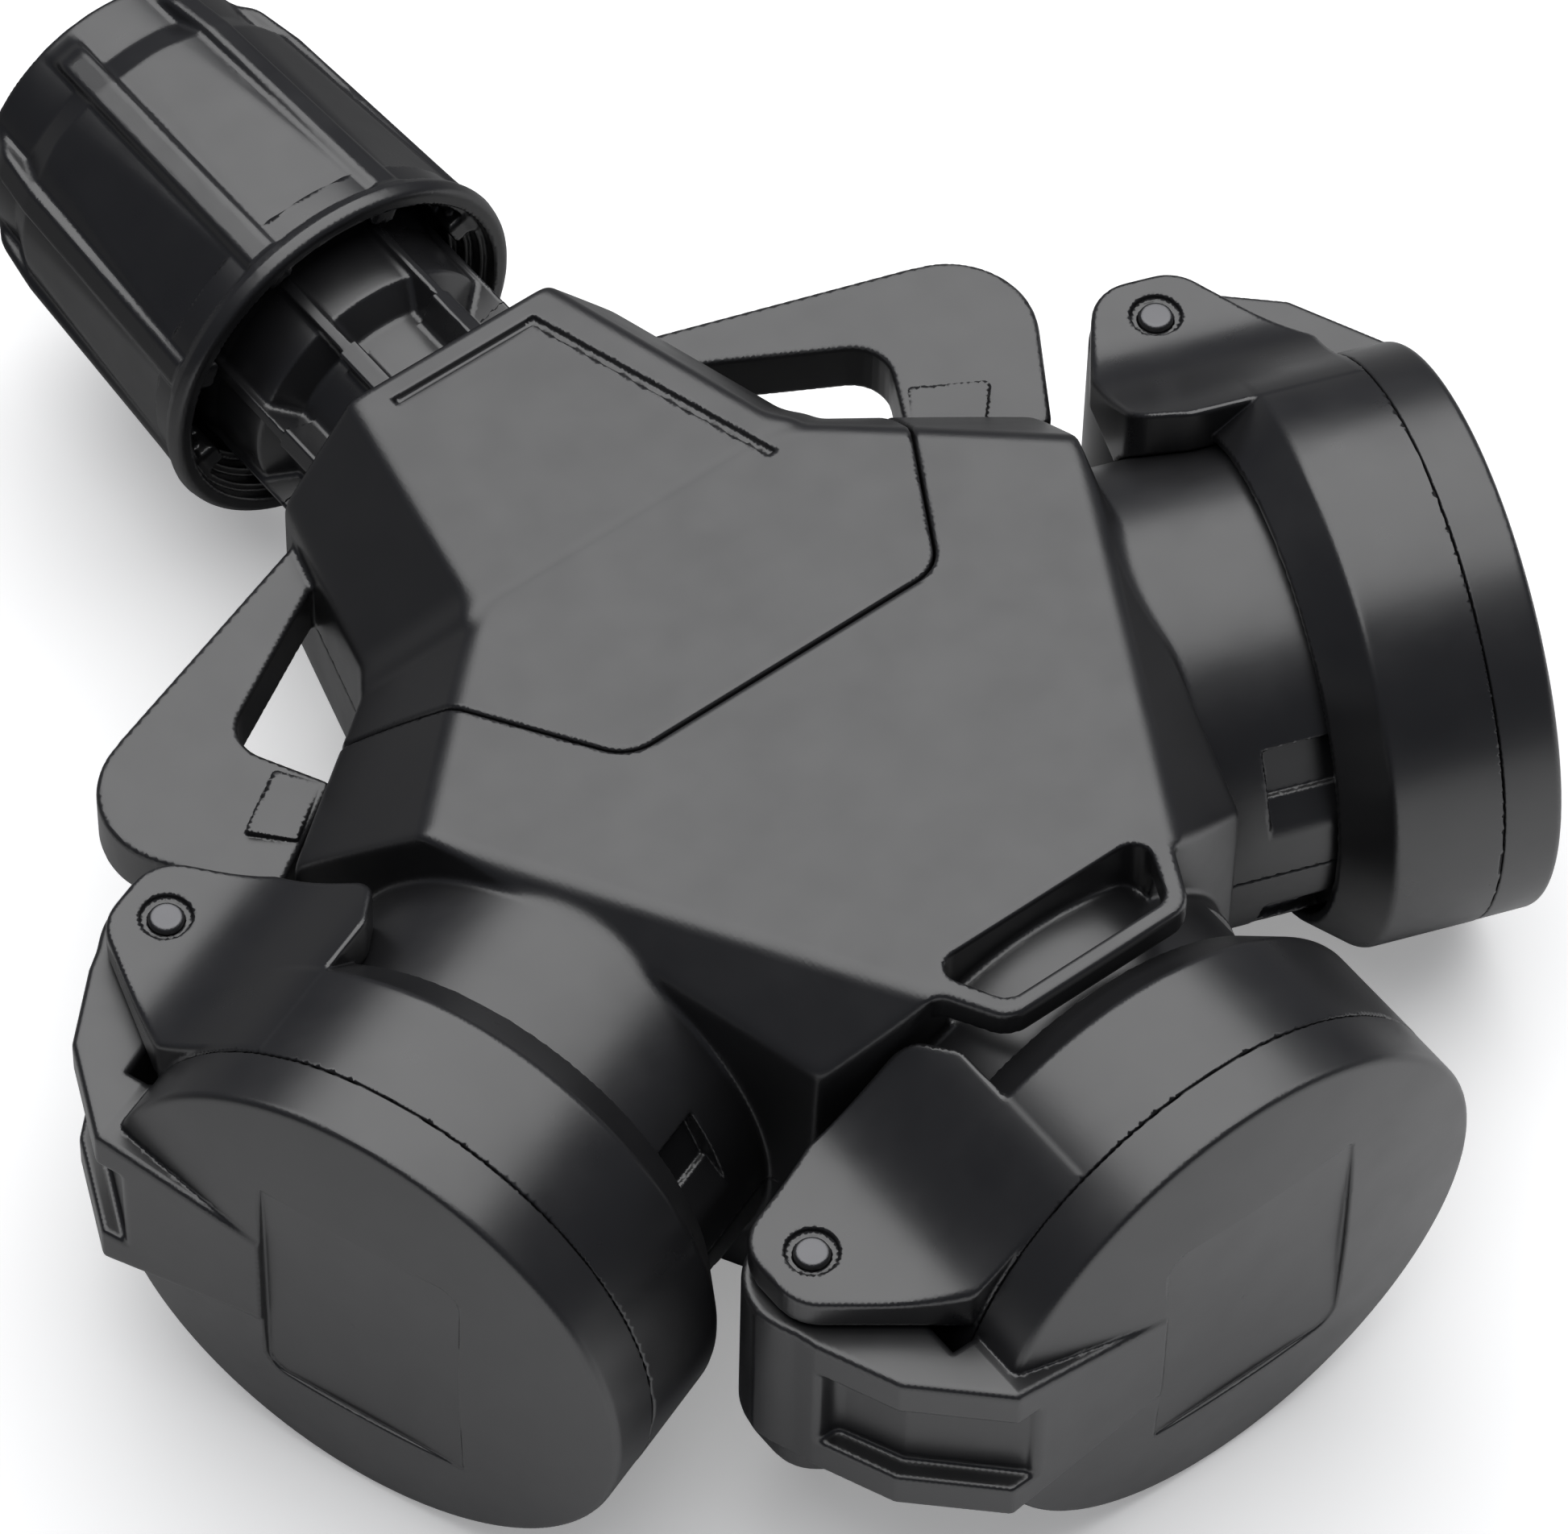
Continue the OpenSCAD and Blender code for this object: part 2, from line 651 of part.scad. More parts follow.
clamp_ring();
gland_nut();
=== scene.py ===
import functools
import json
import math

import bmesh
import bpy
import numpy as np
from mathutils import Matrix, Vector


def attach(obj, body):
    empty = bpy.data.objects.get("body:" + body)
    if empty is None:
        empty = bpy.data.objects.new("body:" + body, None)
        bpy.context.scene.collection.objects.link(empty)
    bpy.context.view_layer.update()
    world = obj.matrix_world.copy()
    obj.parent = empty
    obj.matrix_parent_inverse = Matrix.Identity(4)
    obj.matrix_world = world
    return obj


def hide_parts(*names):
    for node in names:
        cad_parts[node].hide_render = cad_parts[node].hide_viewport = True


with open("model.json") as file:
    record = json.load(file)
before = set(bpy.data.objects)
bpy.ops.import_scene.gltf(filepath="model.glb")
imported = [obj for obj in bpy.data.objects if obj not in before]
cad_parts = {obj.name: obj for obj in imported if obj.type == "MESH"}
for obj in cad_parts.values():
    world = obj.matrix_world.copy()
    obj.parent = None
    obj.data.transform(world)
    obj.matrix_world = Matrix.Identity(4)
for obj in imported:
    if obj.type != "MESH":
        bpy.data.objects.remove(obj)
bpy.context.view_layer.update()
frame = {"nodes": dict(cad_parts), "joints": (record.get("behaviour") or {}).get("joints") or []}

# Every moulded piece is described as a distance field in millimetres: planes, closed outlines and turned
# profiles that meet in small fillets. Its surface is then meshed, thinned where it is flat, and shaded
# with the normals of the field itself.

MM = 0.001
SIDES = ("right", "left", "front")
BLOCK = 8  # cells along each side of the blocks in which a field is sampled
AXIS_Z = 1000 * next(j["pos_m"][2] for j in frame["joints"] if j["name"] == "lid_right_hinge")


# ---- distance fields ----

def smooth_max(a, b, k):
    """The larger distance, with a fillet where both are alike."""
    near = np.maximum(k - np.abs(a - b), 0) / k
    return np.maximum(a, b) + near * near * k / 4


def smooth_min(a, b, k):
    return -smooth_max(-a, -b, k)


def carve(body, tool, k=0.3):
    return smooth_max(body, -tool, k)


def union(*parts, k=0.3):
    return functools.reduce(lambda a, b: smooth_min(a, b, k), parts)


def common(*parts, k=0.3):
    return functools.reduce(lambda a, b: smooth_max(a, b, k), parts)


def convex(x, y, z, planes, k):
    """Distance to a convex body of planes (x, y, z, distance), with its edges rounded."""
    sides = [a * x + b * y + c * z - d for a, b, c, d in planes]
    top = functools.reduce(np.maximum, sides)
    return top + k * np.log(sum(np.exp((side - top) / k) for side in sides))


def outline(u, v, corners):
    """Signed distance to a closed outline in a plane."""
    nearest = np.full(np.shape(u), 1e9)
    inside = np.zeros(np.shape(u), bool)
    for (u0, v0), (u1, v1) in zip(corners, corners[1:] + corners[:1]):
        du, dv, pu, pv = u1 - u0, v1 - v0, u - u0, v - v0
        along = np.clip((pu * du + pv * dv) / (du * du + dv * dv), 0, 1)
        nearest = np.minimum(nearest, (pu - along * du) ** 2 + (pv - along * dv) ** 2)
        if dv:
            inside ^= ((v >= v0) != (v >= v1)) & (pu < pv * du / dv)
    return np.where(inside, -1, 1) * np.sqrt(nearest)


def rounded(corners, steps=7):
    """A closed outline from corners (u, v, radius), where each radius becomes an arc."""
    path = []
    for i, (u, v, radius) in enumerate(corners):
        here = Vector((u, v))
        back = Vector(corners[i - 1][:2]) - here
        ahead = Vector(corners[(i + 1) % len(corners)][:2]) - here
        half = back.angle(ahead) / 2
        if not radius or half > 1.55:
            path.append((u, v))
            continue
        reach = min(radius / math.tan(half), 0.49 * back.length, 0.49 * ahead.length)
        start, end = here + back.normalized() * reach, here + ahead.normalized() * reach
        centre = here + (back.normalized() + ahead.normalized()).normalized() * (reach / math.cos(half))
        first, last = start - centre, end - centre
        sweep = first.angle_signed(last)
        for step in range(steps + 1):
            turned = Matrix.Rotation(-sweep * step / steps, 2) @ first
            path.append(tuple(centre + turned))
    return path


def slab(flat, height, low, high, k=0.3):
    """A plane field carried from low to high."""
    return smooth_max(flat, np.abs(height - (low + high) / 2) - (high - low) / 2, k)


def disc(u, v, cu, cv, r):
    return np.hypot(u - cu, v - cv) - r


def mirrored(right):
    """An outline's right half, followed by its mirror image."""
    return list(right) + [(-p[0], *p[1:]) for p in reversed(right)]


def hull_planes(points):
    """The planes of the convex hull of some points."""
    shape = bmesh.new()
    for point in points:
        shape.verts.new(point)
    bmesh.ops.convex_hull(shape, input=shape.verts)
    middle = sum((v.co for v in shape.verts), Vector()) / len(shape.verts)
    planes = []
    for face in shape.faces:
        face.normal_update()
        normal = face.normal * (1 if face.normal.dot(face.calc_center_median() - middle) > 0 else -1)
        distance = normal.dot(face.calc_center_median())
        if all((normal - Vector(p[:3])).length > 0.02 for p in planes):
            planes.append((*normal, distance))
    shape.free()
    return planes


# ---- meshing ----

def sample(field, low, blocks, step):
    """Field values on a grid, worked out only in the blocks near the surface."""
    centres = [low[i] + (np.arange(blocks[i]) + 0.5) * BLOCK * step for i in range(3)]
    coarse = field(*np.meshgrid(*centres, indexing="ij"))
    values = coarse.astype(np.float32)
    for axis in range(3):
        values = np.repeat(values, BLOCK, axis)
    values = np.pad(values, ((0, 1),) * 3, mode="edge")
    near = np.argwhere(np.abs(coarse) < 1.2 * BLOCK * step)
    offsets = np.arange(BLOCK + 1)
    for start in range(0, len(near), 600):
        corner = near[start:start + 600] * BLOCK
        i = (corner[:, 0, None] + offsets)[:, :, None, None]
        j = (corner[:, 1, None] + offsets)[:, None, :, None]
        k = (corner[:, 2, None] + offsets)[:, None, None, :]
        i, j, k = np.broadcast_arrays(i, j, k)
        values[i, j, k] = field(low[0] + i * step, low[1] + j * step, low[2] + k * step)
    return values


def nets(values):
    """Surface nets: one vertex in each cell that the surface crosses, and a quad for each crossed edge."""
    inside = values < 0
    shape = tuple(n - 1 for n in inside.shape)
    corners = [(i, j, k) for i in (0, 1) for j in (0, 1) for k in (0, 1)]
    views = [inside[i:i + shape[0], j:j + shape[1], k:k + shape[2]] for i, j, k in corners]
    cells = np.argwhere(functools.reduce(np.logical_or, views) & ~functools.reduce(np.logical_and, views))
    held = [values[cells[:, 0] + i, cells[:, 1] + j, cells[:, 2] + k] for i, j, k in corners]
    total, count = np.zeros((len(cells), 3)), np.zeros(len(cells))
    for a in range(8):
        for b in range(a + 1, 8):
            if sum(p != q for p, q in zip(corners[a], corners[b])) != 1:
                continue
            crossed = (held[a] < 0) != (held[b] < 0)
            t = np.where(crossed, held[a] / np.where(crossed, held[a] - held[b], 1), 0)[:, None]
            point = np.array(corners[a]) + t * (np.array(corners[b]) - np.array(corners[a]))
            total += np.where(crossed[:, None], point, 0)
            count += crossed
    index = np.full(shape, -1, np.int32)
    index[tuple(cells.T)] = np.arange(len(cells))
    quads = []
    for axis in range(3):
        first, second = np.delete(np.arange(3), axis) if axis != 1 else (2, 0)
        here = np.take(inside, range(shape[axis]), axis)
        ahead = np.take(inside, range(1, shape[axis] + 1), axis)
        edges = np.argwhere(here != ahead)
        edges = edges[(edges[:, first] > 0) & (edges[:, second] > 0)]
        edges = edges[(edges[:, first] < shape[first]) & (edges[:, second] < shape[second])]
        ring = []
        for back_first, back_second in ((1, 1), (0, 1), (0, 0), (1, 0)):
            cell = edges.copy()
            cell[:, first] -= back_first
            cell[:, second] -= back_second
            ring.append(index[tuple(cell.T)])
        quad = np.stack(ring, 1)
        outward = inside[tuple(edges.T)]
        quads.append(np.where(outward[:, None], quad, quad[:, ::-1]))
    return cells + total / count[:, None], np.concatenate(quads)


def gradient(field, points, reach=0.03):
    parts = []
    for axis in range(3):
        move = np.zeros(3)
        move[axis] = reach
        parts.append((field(*(points + move).T) - field(*(points - move).T)) / (2 * reach))
    return np.stack(parts, 1)


def settle(field, points, step):
    """Points moved onto the surface of the field."""
    for _ in range(3):
        slope = gradient(field, points)
        size = np.maximum((slope ** 2).sum(1), 0.05)
        move = np.clip(field(*points.T) / size, -step, step)
        points = points - slope * move[:, None]
    return points


def fill_mesh(name, points, loops, starts):
    mesh = bpy.data.meshes.new(name)
    mesh.vertices.add(len(points))
    mesh.vertices.foreach_set("co", points.astype(np.float32).ravel())
    mesh.loops.add(len(loops))
    mesh.loops.foreach_set("vertex_index", loops.astype(np.int32))
    mesh.polygons.add(len(starts))
    mesh.polygons.foreach_set("loop_start", starts.astype(np.int32))
    mesh.update(calc_edges=True)
    return mesh


def solid_of(field, low, high, step, keep):
    """Vertices, triangles and corner normals of the field's surface, in the field's own millimetres."""
    step = step * 1
    low = np.array(low, float) - 2 * step
    blocks = np.ceil((np.array(high) + 2 * step - low) / step / BLOCK).astype(int)
    cells, quads = nets(sample(field, low, blocks, step))
    points = settle(field, low + cells * step, step / 2)
    dense = fill_mesh("dense", points, quads.ravel(), np.arange(len(quads)) * 4)
    holder = bpy.data.objects.new("dense", dense)
    bpy.context.scene.collection.objects.link(holder)
    thin = holder.modifiers.new("thin", "DECIMATE")
    thin.ratio = keep
    thin.use_collapse_triangulate = True
    made = bpy.data.meshes.new_from_object(holder.evaluated_get(bpy.context.evaluated_depsgraph_get()))
    points = np.zeros(len(made.vertices) * 3)
    made.vertices.foreach_get("co", points)
    loops = np.zeros(len(made.loops), int)
    made.loops.foreach_get("vertex_index", loops)
    bpy.data.objects.remove(holder)
    bpy.data.meshes.remove(dense)
    bpy.data.meshes.remove(made)
    points = settle(field, points.reshape(-1, 3), step / 4)
    triangles = loops.reshape(-1, 3)
    corners = points[triangles]
    inward = corners.mean(1, keepdims=True) - corners
    reach = np.linalg.norm(inward, axis=2, keepdims=True)
    sampled = corners + inward * np.minimum(0.35, 0.3 / np.maximum(reach, 1e-6))
    normals = gradient(field, sampled.reshape(-1, 3), 0.08)
    normals /= np.maximum(np.linalg.norm(normals, axis=1, keepdims=True), 1e-9)
    return points, triangles, normals.reshape(-1, 3, 3)


def place_solid(name, solid, place, material, body, nodes):
    """An object from a solid, put in the row frame by a 4 by 4 place in millimetres."""
    points, triangles, normals = solid
    turn = np.array(place.to_3x3())
    points = points @ turn.T + np.array(place.translation)
    normals = normals @ turn.T
    if np.linalg.det(turn) < 0:
        triangles, normals = triangles[:, ::-1], normals[:, ::-1]
    mesh = fill_mesh(name, points * MM, triangles.ravel(), np.arange(len(triangles)) * 3)
    mesh.polygons.foreach_set("use_smooth", np.ones(len(triangles), bool))
    mesh.normals_split_custom_set(normals.reshape(-1, 3).tolist())
    mesh.materials.append(material)
    piece = bpy.data.objects.new(name, mesh)
    bpy.context.scene.collection.objects.link(piece)
    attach(piece, body)
    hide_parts(*nodes)


# ---- places ----

SOCKET_ANGLE = math.radians(70)


def socket_place(side):
    """Local X toward the hinge, Y up and Z outward along the socket's axis."""
    if side == "front":
        hinge, out = Vector((-1, 0, 0)), Vector((0, -1, 0))
    else:
        sign = 1 if side == "right" else -1
        hinge = Vector((sign * math.cos(SOCKET_ANGLE), math.sin(SOCKET_ANGLE), 0))
        out = Vector((sign * math.sin(SOCKET_ANGLE), -math.cos(SOCKET_ANGLE), 0))
    place = Matrix((hinge, (0, 0, 1), out)).transposed().to_4x4()
    place.translation = (0, 0, AXIS_Z)
    return place


# Local Z along the row's +Y, local Y up
GLAND_PLACE = Matrix.Translation((0, 0, AXIS_Z)) @ Matrix(((-1, 0, 0), (0, 0, 1), (0, 1, 0))).to_4x4()


def in_socket(x, y, z, side):
    """Row coordinates as a socket's own."""
    spin = np.array(socket_place(side).to_3x3()).T
    return (spin[0, 0] * x + spin[0, 1] * y, z - AXIS_Z, spin[2, 0] * x + spin[2, 1] * y)


# ---- materials ----

def plastic(name, colour, rough, grain, grain_size, coat=0.0):
    """Moulded plastic with a fine grain, faint mottling and duller patches."""
    material = bpy.data.materials.new(name)
    material.use_nodes = True
    nodes, links = material.node_tree.nodes, material.node_tree.links
    shader = nodes["Principled BSDF"]
    place = nodes.new("ShaderNodeTexCoord").outputs["Object"]

    def noise(size, detail):
        node = nodes.new("ShaderNodeTexNoise")
        node.inputs["Scale"].default_value = 1 / size
        node.inputs["Detail"].default_value = detail
        links.new(place, node.inputs["Vector"])
        return node.outputs["Fac"]

    def spread(value, low, high):
        node = nodes.new("ShaderNodeMapRange")
        node.inputs["From Min"].default_value = 0.3
        node.inputs["From Max"].default_value = 0.7
        node.inputs["To Min"].default_value = low
        node.inputs["To Max"].default_value = high
        links.new(value, node.inputs["Value"])
        return node.outputs["Result"]

    tint = nodes.new("ShaderNodeMix")
    tint.data_type = "RGBA"
    tint.inputs["A"].default_value = (*[c * 0.94 for c in colour], 1)
    tint.inputs["B"].default_value = (*[c * 1.06 for c in colour], 1)
    links.new(spread(noise(0.018, 3), 0, 1), tint.inputs["Factor"])
    links.new(tint.outputs["Result"], shader.inputs["Base Color"])
    links.new(spread(noise(0.006, 4), rough - 0.03, rough + 0.03), shader.inputs["Roughness"])
    bump = nodes.new("ShaderNodeBump")
    bump.inputs["Strength"].default_value = grain
    bump.inputs["Distance"].default_value = 0.00002
    links.new(noise(grain_size, 2), bump.inputs["Height"])
    links.new(bump.outputs["Normal"], shader.inputs["Normal"])
    shader.inputs["Specular IOR Level"].default_value = 0.9
    shader.inputs["Coat Weight"].default_value = coat
    return material


def metal(name, colour, rough, streak):
    material = plastic(name, colour, rough, streak, 0.0004)
    material.node_tree.nodes["Principled BSDF"].inputs["Metallic"].default_value = 1.0
    return material


HOUSING = plastic("housing_plastic", (0.012, 0.012, 0.013), 0.34, 0.2, 0.0005)
SOCKET = plastic("socket_plastic", (0.012, 0.012, 0.013), 0.30, 0.15, 0.0005)
LID = plastic("lid_plastic", (0.013, 0.013, 0.014), 0.33, 0.15, 0.0005)
GLAND = plastic("gland_plastic", (0.011, 0.011, 0.012), 0.30, 0.15, 0.0005)
INSERT = plastic("insert_plastic", (0.012, 0.012, 0.012), 0.35, 0.3, 0.0004)
RUBBER = plastic("seal_rubber", (0.015, 0.015, 0.015), 0.65, 0.4, 0.0003)
TERMINAL = plastic("terminal_plastic", (0.80, 0.79, 0.72), 0.45, 0.2, 0.0005)
PIN_STEEL = metal("hinge_steel", (0.12, 0.12, 0.125), 0.4, 0.2)
SPRING = metal("spring_steel", (0.6, 0.6, 0.62), 0.3, 0.1)
SCREW = metal("screw_steel", (0.62, 0.62, 0.64), 0.35, 0.2)
BRASS = metal("contact_brass", (0.75, 0.58, 0.28), 0.3, 0.2)
BRONZE = metal("clip_bronze", (0.72, 0.55, 0.36), 0.3, 0.2)


# ---- housing ----

TOP_Z, SLOPE = 56.7, math.tan(math.radians(5.1))
WALL_TOP, CHIN_TOP_Z, WALL, REAR_Y, LIP, POCKET_Z = 41, 52.3, 3, 54.8, 3.6, 51
REAR_TOP, WAIST_TOP, SHOULDER_TOP, CHIN_TOP = (12.7, REAR_Y), (20, 23.3), (42, 2.5), (15.1, -46.1)
REAR_MID, WAIST_MID, SHOULDER_MID, CHIN_MID = (21.6, REAR_Y), (28.3, 31), (48.3, 16.5), (27, -42.4)
NECK_R, NECK_IN, NECK_END = 25, 22.2, 59.6
SEAM_GAP, SPLIT_GAP, GROOVE_DEPTH, GLAND_HOLE_R = 0.12, 0.05, 0.6, 12.1
WINDOW_TILTS, WINDOW_HALF, WINDOW_A, WINDOW_DEPTH = (155, 205), 5.2, 50.2, 2
SCREW_R, SCREW_POST_R, SCREW_RECESS_R, SCREW_RECESS = 1.8, 4.9, 3.6, 6
SEAM = rounded(mirrored([(90, 90, 0), (90, 28, 0), (36.5, 28, 0), (29.3, 14, 0), (19.7, -2.3, 5)]), 12)
NOSE = rounded(mirrored([(14.2, -36, 0), (14.9, -45.8, 1), (11.35, -52.7, 3.5)]))
POCKET = rounded(mirrored([(13.7, -42.6, 2), (10, -50.6, 2.2)]))


def top_height(x, y, z):
    """Distance above the sloping top plate."""
    return (z - TOP_Z + SLOPE * y) / math.hypot(1, SLOPE)


def body_points(outer_top, outer_mid, upper):
    """Corners of one prism of the housing, for both hands."""
    points = []
    for x, y in outer_top:
        points += [(s * x, y, TOP_Z - SLOPE * y if upper else 0) for s in (1, -1)]
    for x, y in outer_mid:
        heights = (AXIS_Z, WALL_TOP if upper else 2 * AXIS_Z - WALL_TOP)
        points += [(s * x, y, z) for s in (1, -1) for z in heights]
    return points


def side_planes(points, upper):
    """The prism's planes without its lid and floor, which both prisms share."""
    return [p for p in hull_planes(points) if abs(p[2]) < 0.9]


def housing_sides(upper):
    main = body_points([WAIST_TOP, SHOULDER_TOP, CHIN_TOP], [WAIST_MID, SHOULDER_MID, CHIN_MID], upper)
    if upper:
        main += [(s * CHIN_MID[0], CHIN_MID[1], CHIN_TOP_Z) for s in (1, -1)]
    rear = body_points([REAR_TOP, WAIST_TOP], [REAR_MID, WAIST_MID], upper)
    return side_planes(main, upper), side_planes(rear, upper)


UPPER_PLANES, LOWER_PLANES = housing_sides(True), housing_sides(False)


def shell_block(x, y, z, upper):
    """The outer shape of the housing, before it is hollowed and cut."""
    main, rear = UPPER_PLANES if upper else LOWER_PLANES
    sides = smooth_min(convex(x, y, z, main, 0.3), convex(x, y, z, rear, 0.3), 3)
    if upper:
        lip = common(outline(x, y, NOSE), -LIP - top_height(x, y, z))
        sides = smooth_min(sides, lip, 0.8)
        solid = smooth_max(sides, top_height(x, y, z), 1.0)
        return carve(solid, common(outline(x, y, POCKET), POCKET_Z - z), 0.6)
    return smooth_max(sides, -z, 1.2)


def necks(x, y, z, r, start, end):
    tubes = []
    for side in SIDES:
        b, h, a = in_socket(x, y, z, side)
        tubes.append(slab(np.hypot(b, h) - r, a, start, end, 0.5))
    return functools.reduce(np.minimum, tubes)


def neck_windows(x, y, z):
    """Snap windows in the necks on the side away from the hinge, each with a block toward the seam."""
    cuts = []
    for side in SIDES:
        b, h, a = in_socket(x, y, z, side)
        for tilt in WINDOW_TILTS:
            c, s = math.cos(math.radians(tilt)), math.sin(math.radians(tilt))
            out, across = b * c + h * s, (h * c - b * s) * (1 if tilt < 180 else -1)
            window = common(np.abs(across) - WINDOW_HALF, np.abs(a - WINDOW_A) - 4,
                NECK_R - WINDOW_DEPTH - out, k=0.4)
            block = common(0.6 - across, out - NECK_R + 0.9 - 0.25 * (across - 2.8), k=0.3)
            cuts.append(carve(window, block, 0.3))
    return functools.reduce(np.minimum, cuts)


def half_shell(x, y, z, upper):
    outer = shell_block(x, y, z, upper)
    tubes = necks(x, y, z, NECK_R, 36.6, NECK_END)
    shape = smooth_min(outer, tubes, 0.9)
    shape = carve(shape, outer + WALL, 0.6)
    shape = carve(shape, necks(x, y, z, NECK_IN, 33, 70), 0.4)
    return carve(shape, neck_windows(x, y, z), 0.4)


def behind_seam(x, y):
    return outline(x, y, SEAM)


def split_plane(z, upper):
    return AXIS_Z + SPLIT_GAP - z if upper else z - AXIS_Z + SPLIT_GAP


def front_housing(x, y, z):
    shape = half_shell(x, y, z, True)
    shape = smooth_max(shape, SEAM_GAP - behind_seam(x, y), 0.5)
    return smooth_max(shape, split_plane(z, True), 0.3)


LOOP_CORNER = (49.6, 32.6, 9.6)
LOOP_OUTER = rounded([(20, 44, 0), (20, 52.7, 0), (52.3, 41.9, 0), (57.7, 27.4, 0), (50.6, 16.4, 1.2),
    (30, 29, 0)])
LOOP_HOLE = rounded([(22, 47.2, 0), (28, 44, 0), (43.2, 35.4, 4.2), (37, 23.6, 0), (20, 30, 0)])
LOOP_H, RAMP_RISE, RAMP_START = 7, 0.09, 39
GROOVE_REAR = [(-9.3, 51), (-9.3, 51.9), (8.6, 51.9), (8.6, 51)]
GROOVE_SIDE = [(8.0, 51.9), (9.0, 51.9), (16.9, 20.9), (15.9, 20.8)]
LATCH_RAMP = rounded([(38.6, 25, 0.4), (44.8, 20.4, 0.4), (48.6, 24.4, 0.4), (41.4, 29.2, 0.4)])


def rear_cover(x, y, z):
    shape = half_shell(x, y, z, True)
    right = np.abs(x)
    loops = np.minimum(outline(right, y, LOOP_OUTER), disc(right, y, *LOOP_CORNER))
    loops = slab(loops, z, AXIS_Z, AXIS_Z + LOOP_H, 0.8)
    loops = carve(loops, outline(right, y, LOOP_HOLE), 0.8)
    loops = carve(loops, convex(x, y, z, UPPER_PLANES[0], 0.3) - 0.2, 0.3)
    ramp_top = AXIS_Z + LOOP_H + RAMP_RISE * (right - RAMP_START)
    ramp = common(outline(right, y, LATCH_RAMP), z - ramp_top, AXIS_Z + LOOP_H - 1 - z, k=0.2)
    groove = np.minimum(slab(outline(x, y, GROOVE_REAR), z, 40, 80, 0.2), outline(x, y, GROOVE_SIDE))
    shape = carve(shape, common(groove, -GROOVE_DEPTH - top_height(x, y, z)), 0.35)
    shape = smooth_max(shape, behind_seam(x, y) + SEAM_GAP, 0.5)
    shape = smooth_min(shape, union(loops, ramp, k=0.15), 0.8)
    shape = carve(shape, np.hypot(x, z - AXIS_Z) - GLAND_HOLE_R, 0.4)
    return smooth_max(shape, split_plane(z, True), 0.3)


SCREWS = [(11.5, 40.3), (31, 9), (20, -29)]


def lower_housing(x, y, z):
    shape = half_shell(x, y, z, False)
    from_screw = functools.reduce(np.minimum, [disc(np.abs(x), y, *screw, 0) for screw in SCREWS])
    posts = common(from_screw - SCREW_POST_R, 1 - z, shell_block(x, y, z, False) + 1)
    shape = np.minimum(shape, posts)
    shape = carve(shape, common(from_screw - SCREW_RECESS_R, z - SCREW_RECESS), 0.4)
    shape = carve(shape, from_screw - SCREW_R, 0.2)
    behind = smooth_max(np.hypot(x, z - AXIS_Z) - GLAND_HOLE_R, 30 - y, 0.3)
    return smooth_max(carve(shape, behind, 0.4), split_plane(z, False), 0.3)


# ---- collars and lids ----

HINGE = (37.1, 54.6)
LUG_LOW, LUG_HIGH, COLLAR_BORE, PIN_R = 11.24, 15.24, 25.15, 1.85
COLLAR_RING = rounded([(25.6, 53, 0.2), (26.6, 53, 0.2), (30.5, 57.7, 1.5), (30.5, 69.42, 0.12),
    (25.5, 69.4, 0.3), (25.5, 66.5, 0), (22.3, 66.5, 0.3), (22.3, 59.9, 0), (25.25, 59.9, 0), (25.25, 57, 0)])
LUG = rounded([(42.4, 49.3, 5.2), (30.2, 44.9, 3), (18.2, 45, 3.5), (15.4, 50.5, 3), (15.4, 69.2, 0),
    (28.5, 69.2, 2.2), (42.4, 58.6, 5.2)])


def collar(b, h, a):
    """A ring that grips the neck, with two lugs that rise onto it in a wide fillet."""
    ring = outline(np.hypot(b, h), a, COLLAR_RING)
    rise = smooth_min(np.abs(h) - LUG_HIGH, np.hypot(b, h) - 30.48, 9)
    lug = common(outline(b, a, LUG), rise, LUG_LOW - np.abs(h), k=0.8)
    shape = smooth_min(ring, lug, 0.3)
    shape = carve(shape, np.hypot(b, h) - np.where(a < 59.9, COLLAR_BORE, 22.3), 0.3)
    swing = slab(disc(b, a, *HINGE, 7.4), h, -LUG_LOW, LUG_LOW, 0.3)
    arm_gap = common(29.4 - b, np.abs(h) - 11.2, 53 - a)
    shape = carve(shape, np.minimum(swing, arm_gap), 0.4)
    from_pin = disc(b, a, *HINGE, 0)
    socket = common(from_pin - 2.7, 14.5 - np.abs(h), k=0.3)
    return carve(carve(shape, socket, 0.3), from_pin - PIN_R - 0.02, 0.2)


DOME_R = 191.6
CROWN = 78.2
CAP = rounded([(0, 73, 0), (27.5, 73, 0.5), (27.5, 69.5, 0.3), (30.45, 69.48, 0.12), (30.35, 90, 0),
    (0, 90, 0)])
ARM = rounded([(10.5, 73, 0), (10.5, 78, 0), (29.8, 78.2, 0.8), (38.2, 70, 0.8), (42, 61.5, 0.8),
    (44, 54.6, 0), (37.1, 50, 0), (31.4, 57, 0), (31.4, 69.8, 0), (28, 69.8, 0), (28, 73, 0)])
PANEL = rounded([(10.5, -15.7, 0.4), (10.5, 15.7, 2.5), (-12.8, 15.7, 0.4), (-12.8, -15.7, 2.5)])
GRIP = rounded([(44, 61.9, 0), (39.2, 61.9, 1.5), (36, 68.7, 1), (27.4, 77.2, 1), (25.6, 81, 0), (46, 81, 0)])


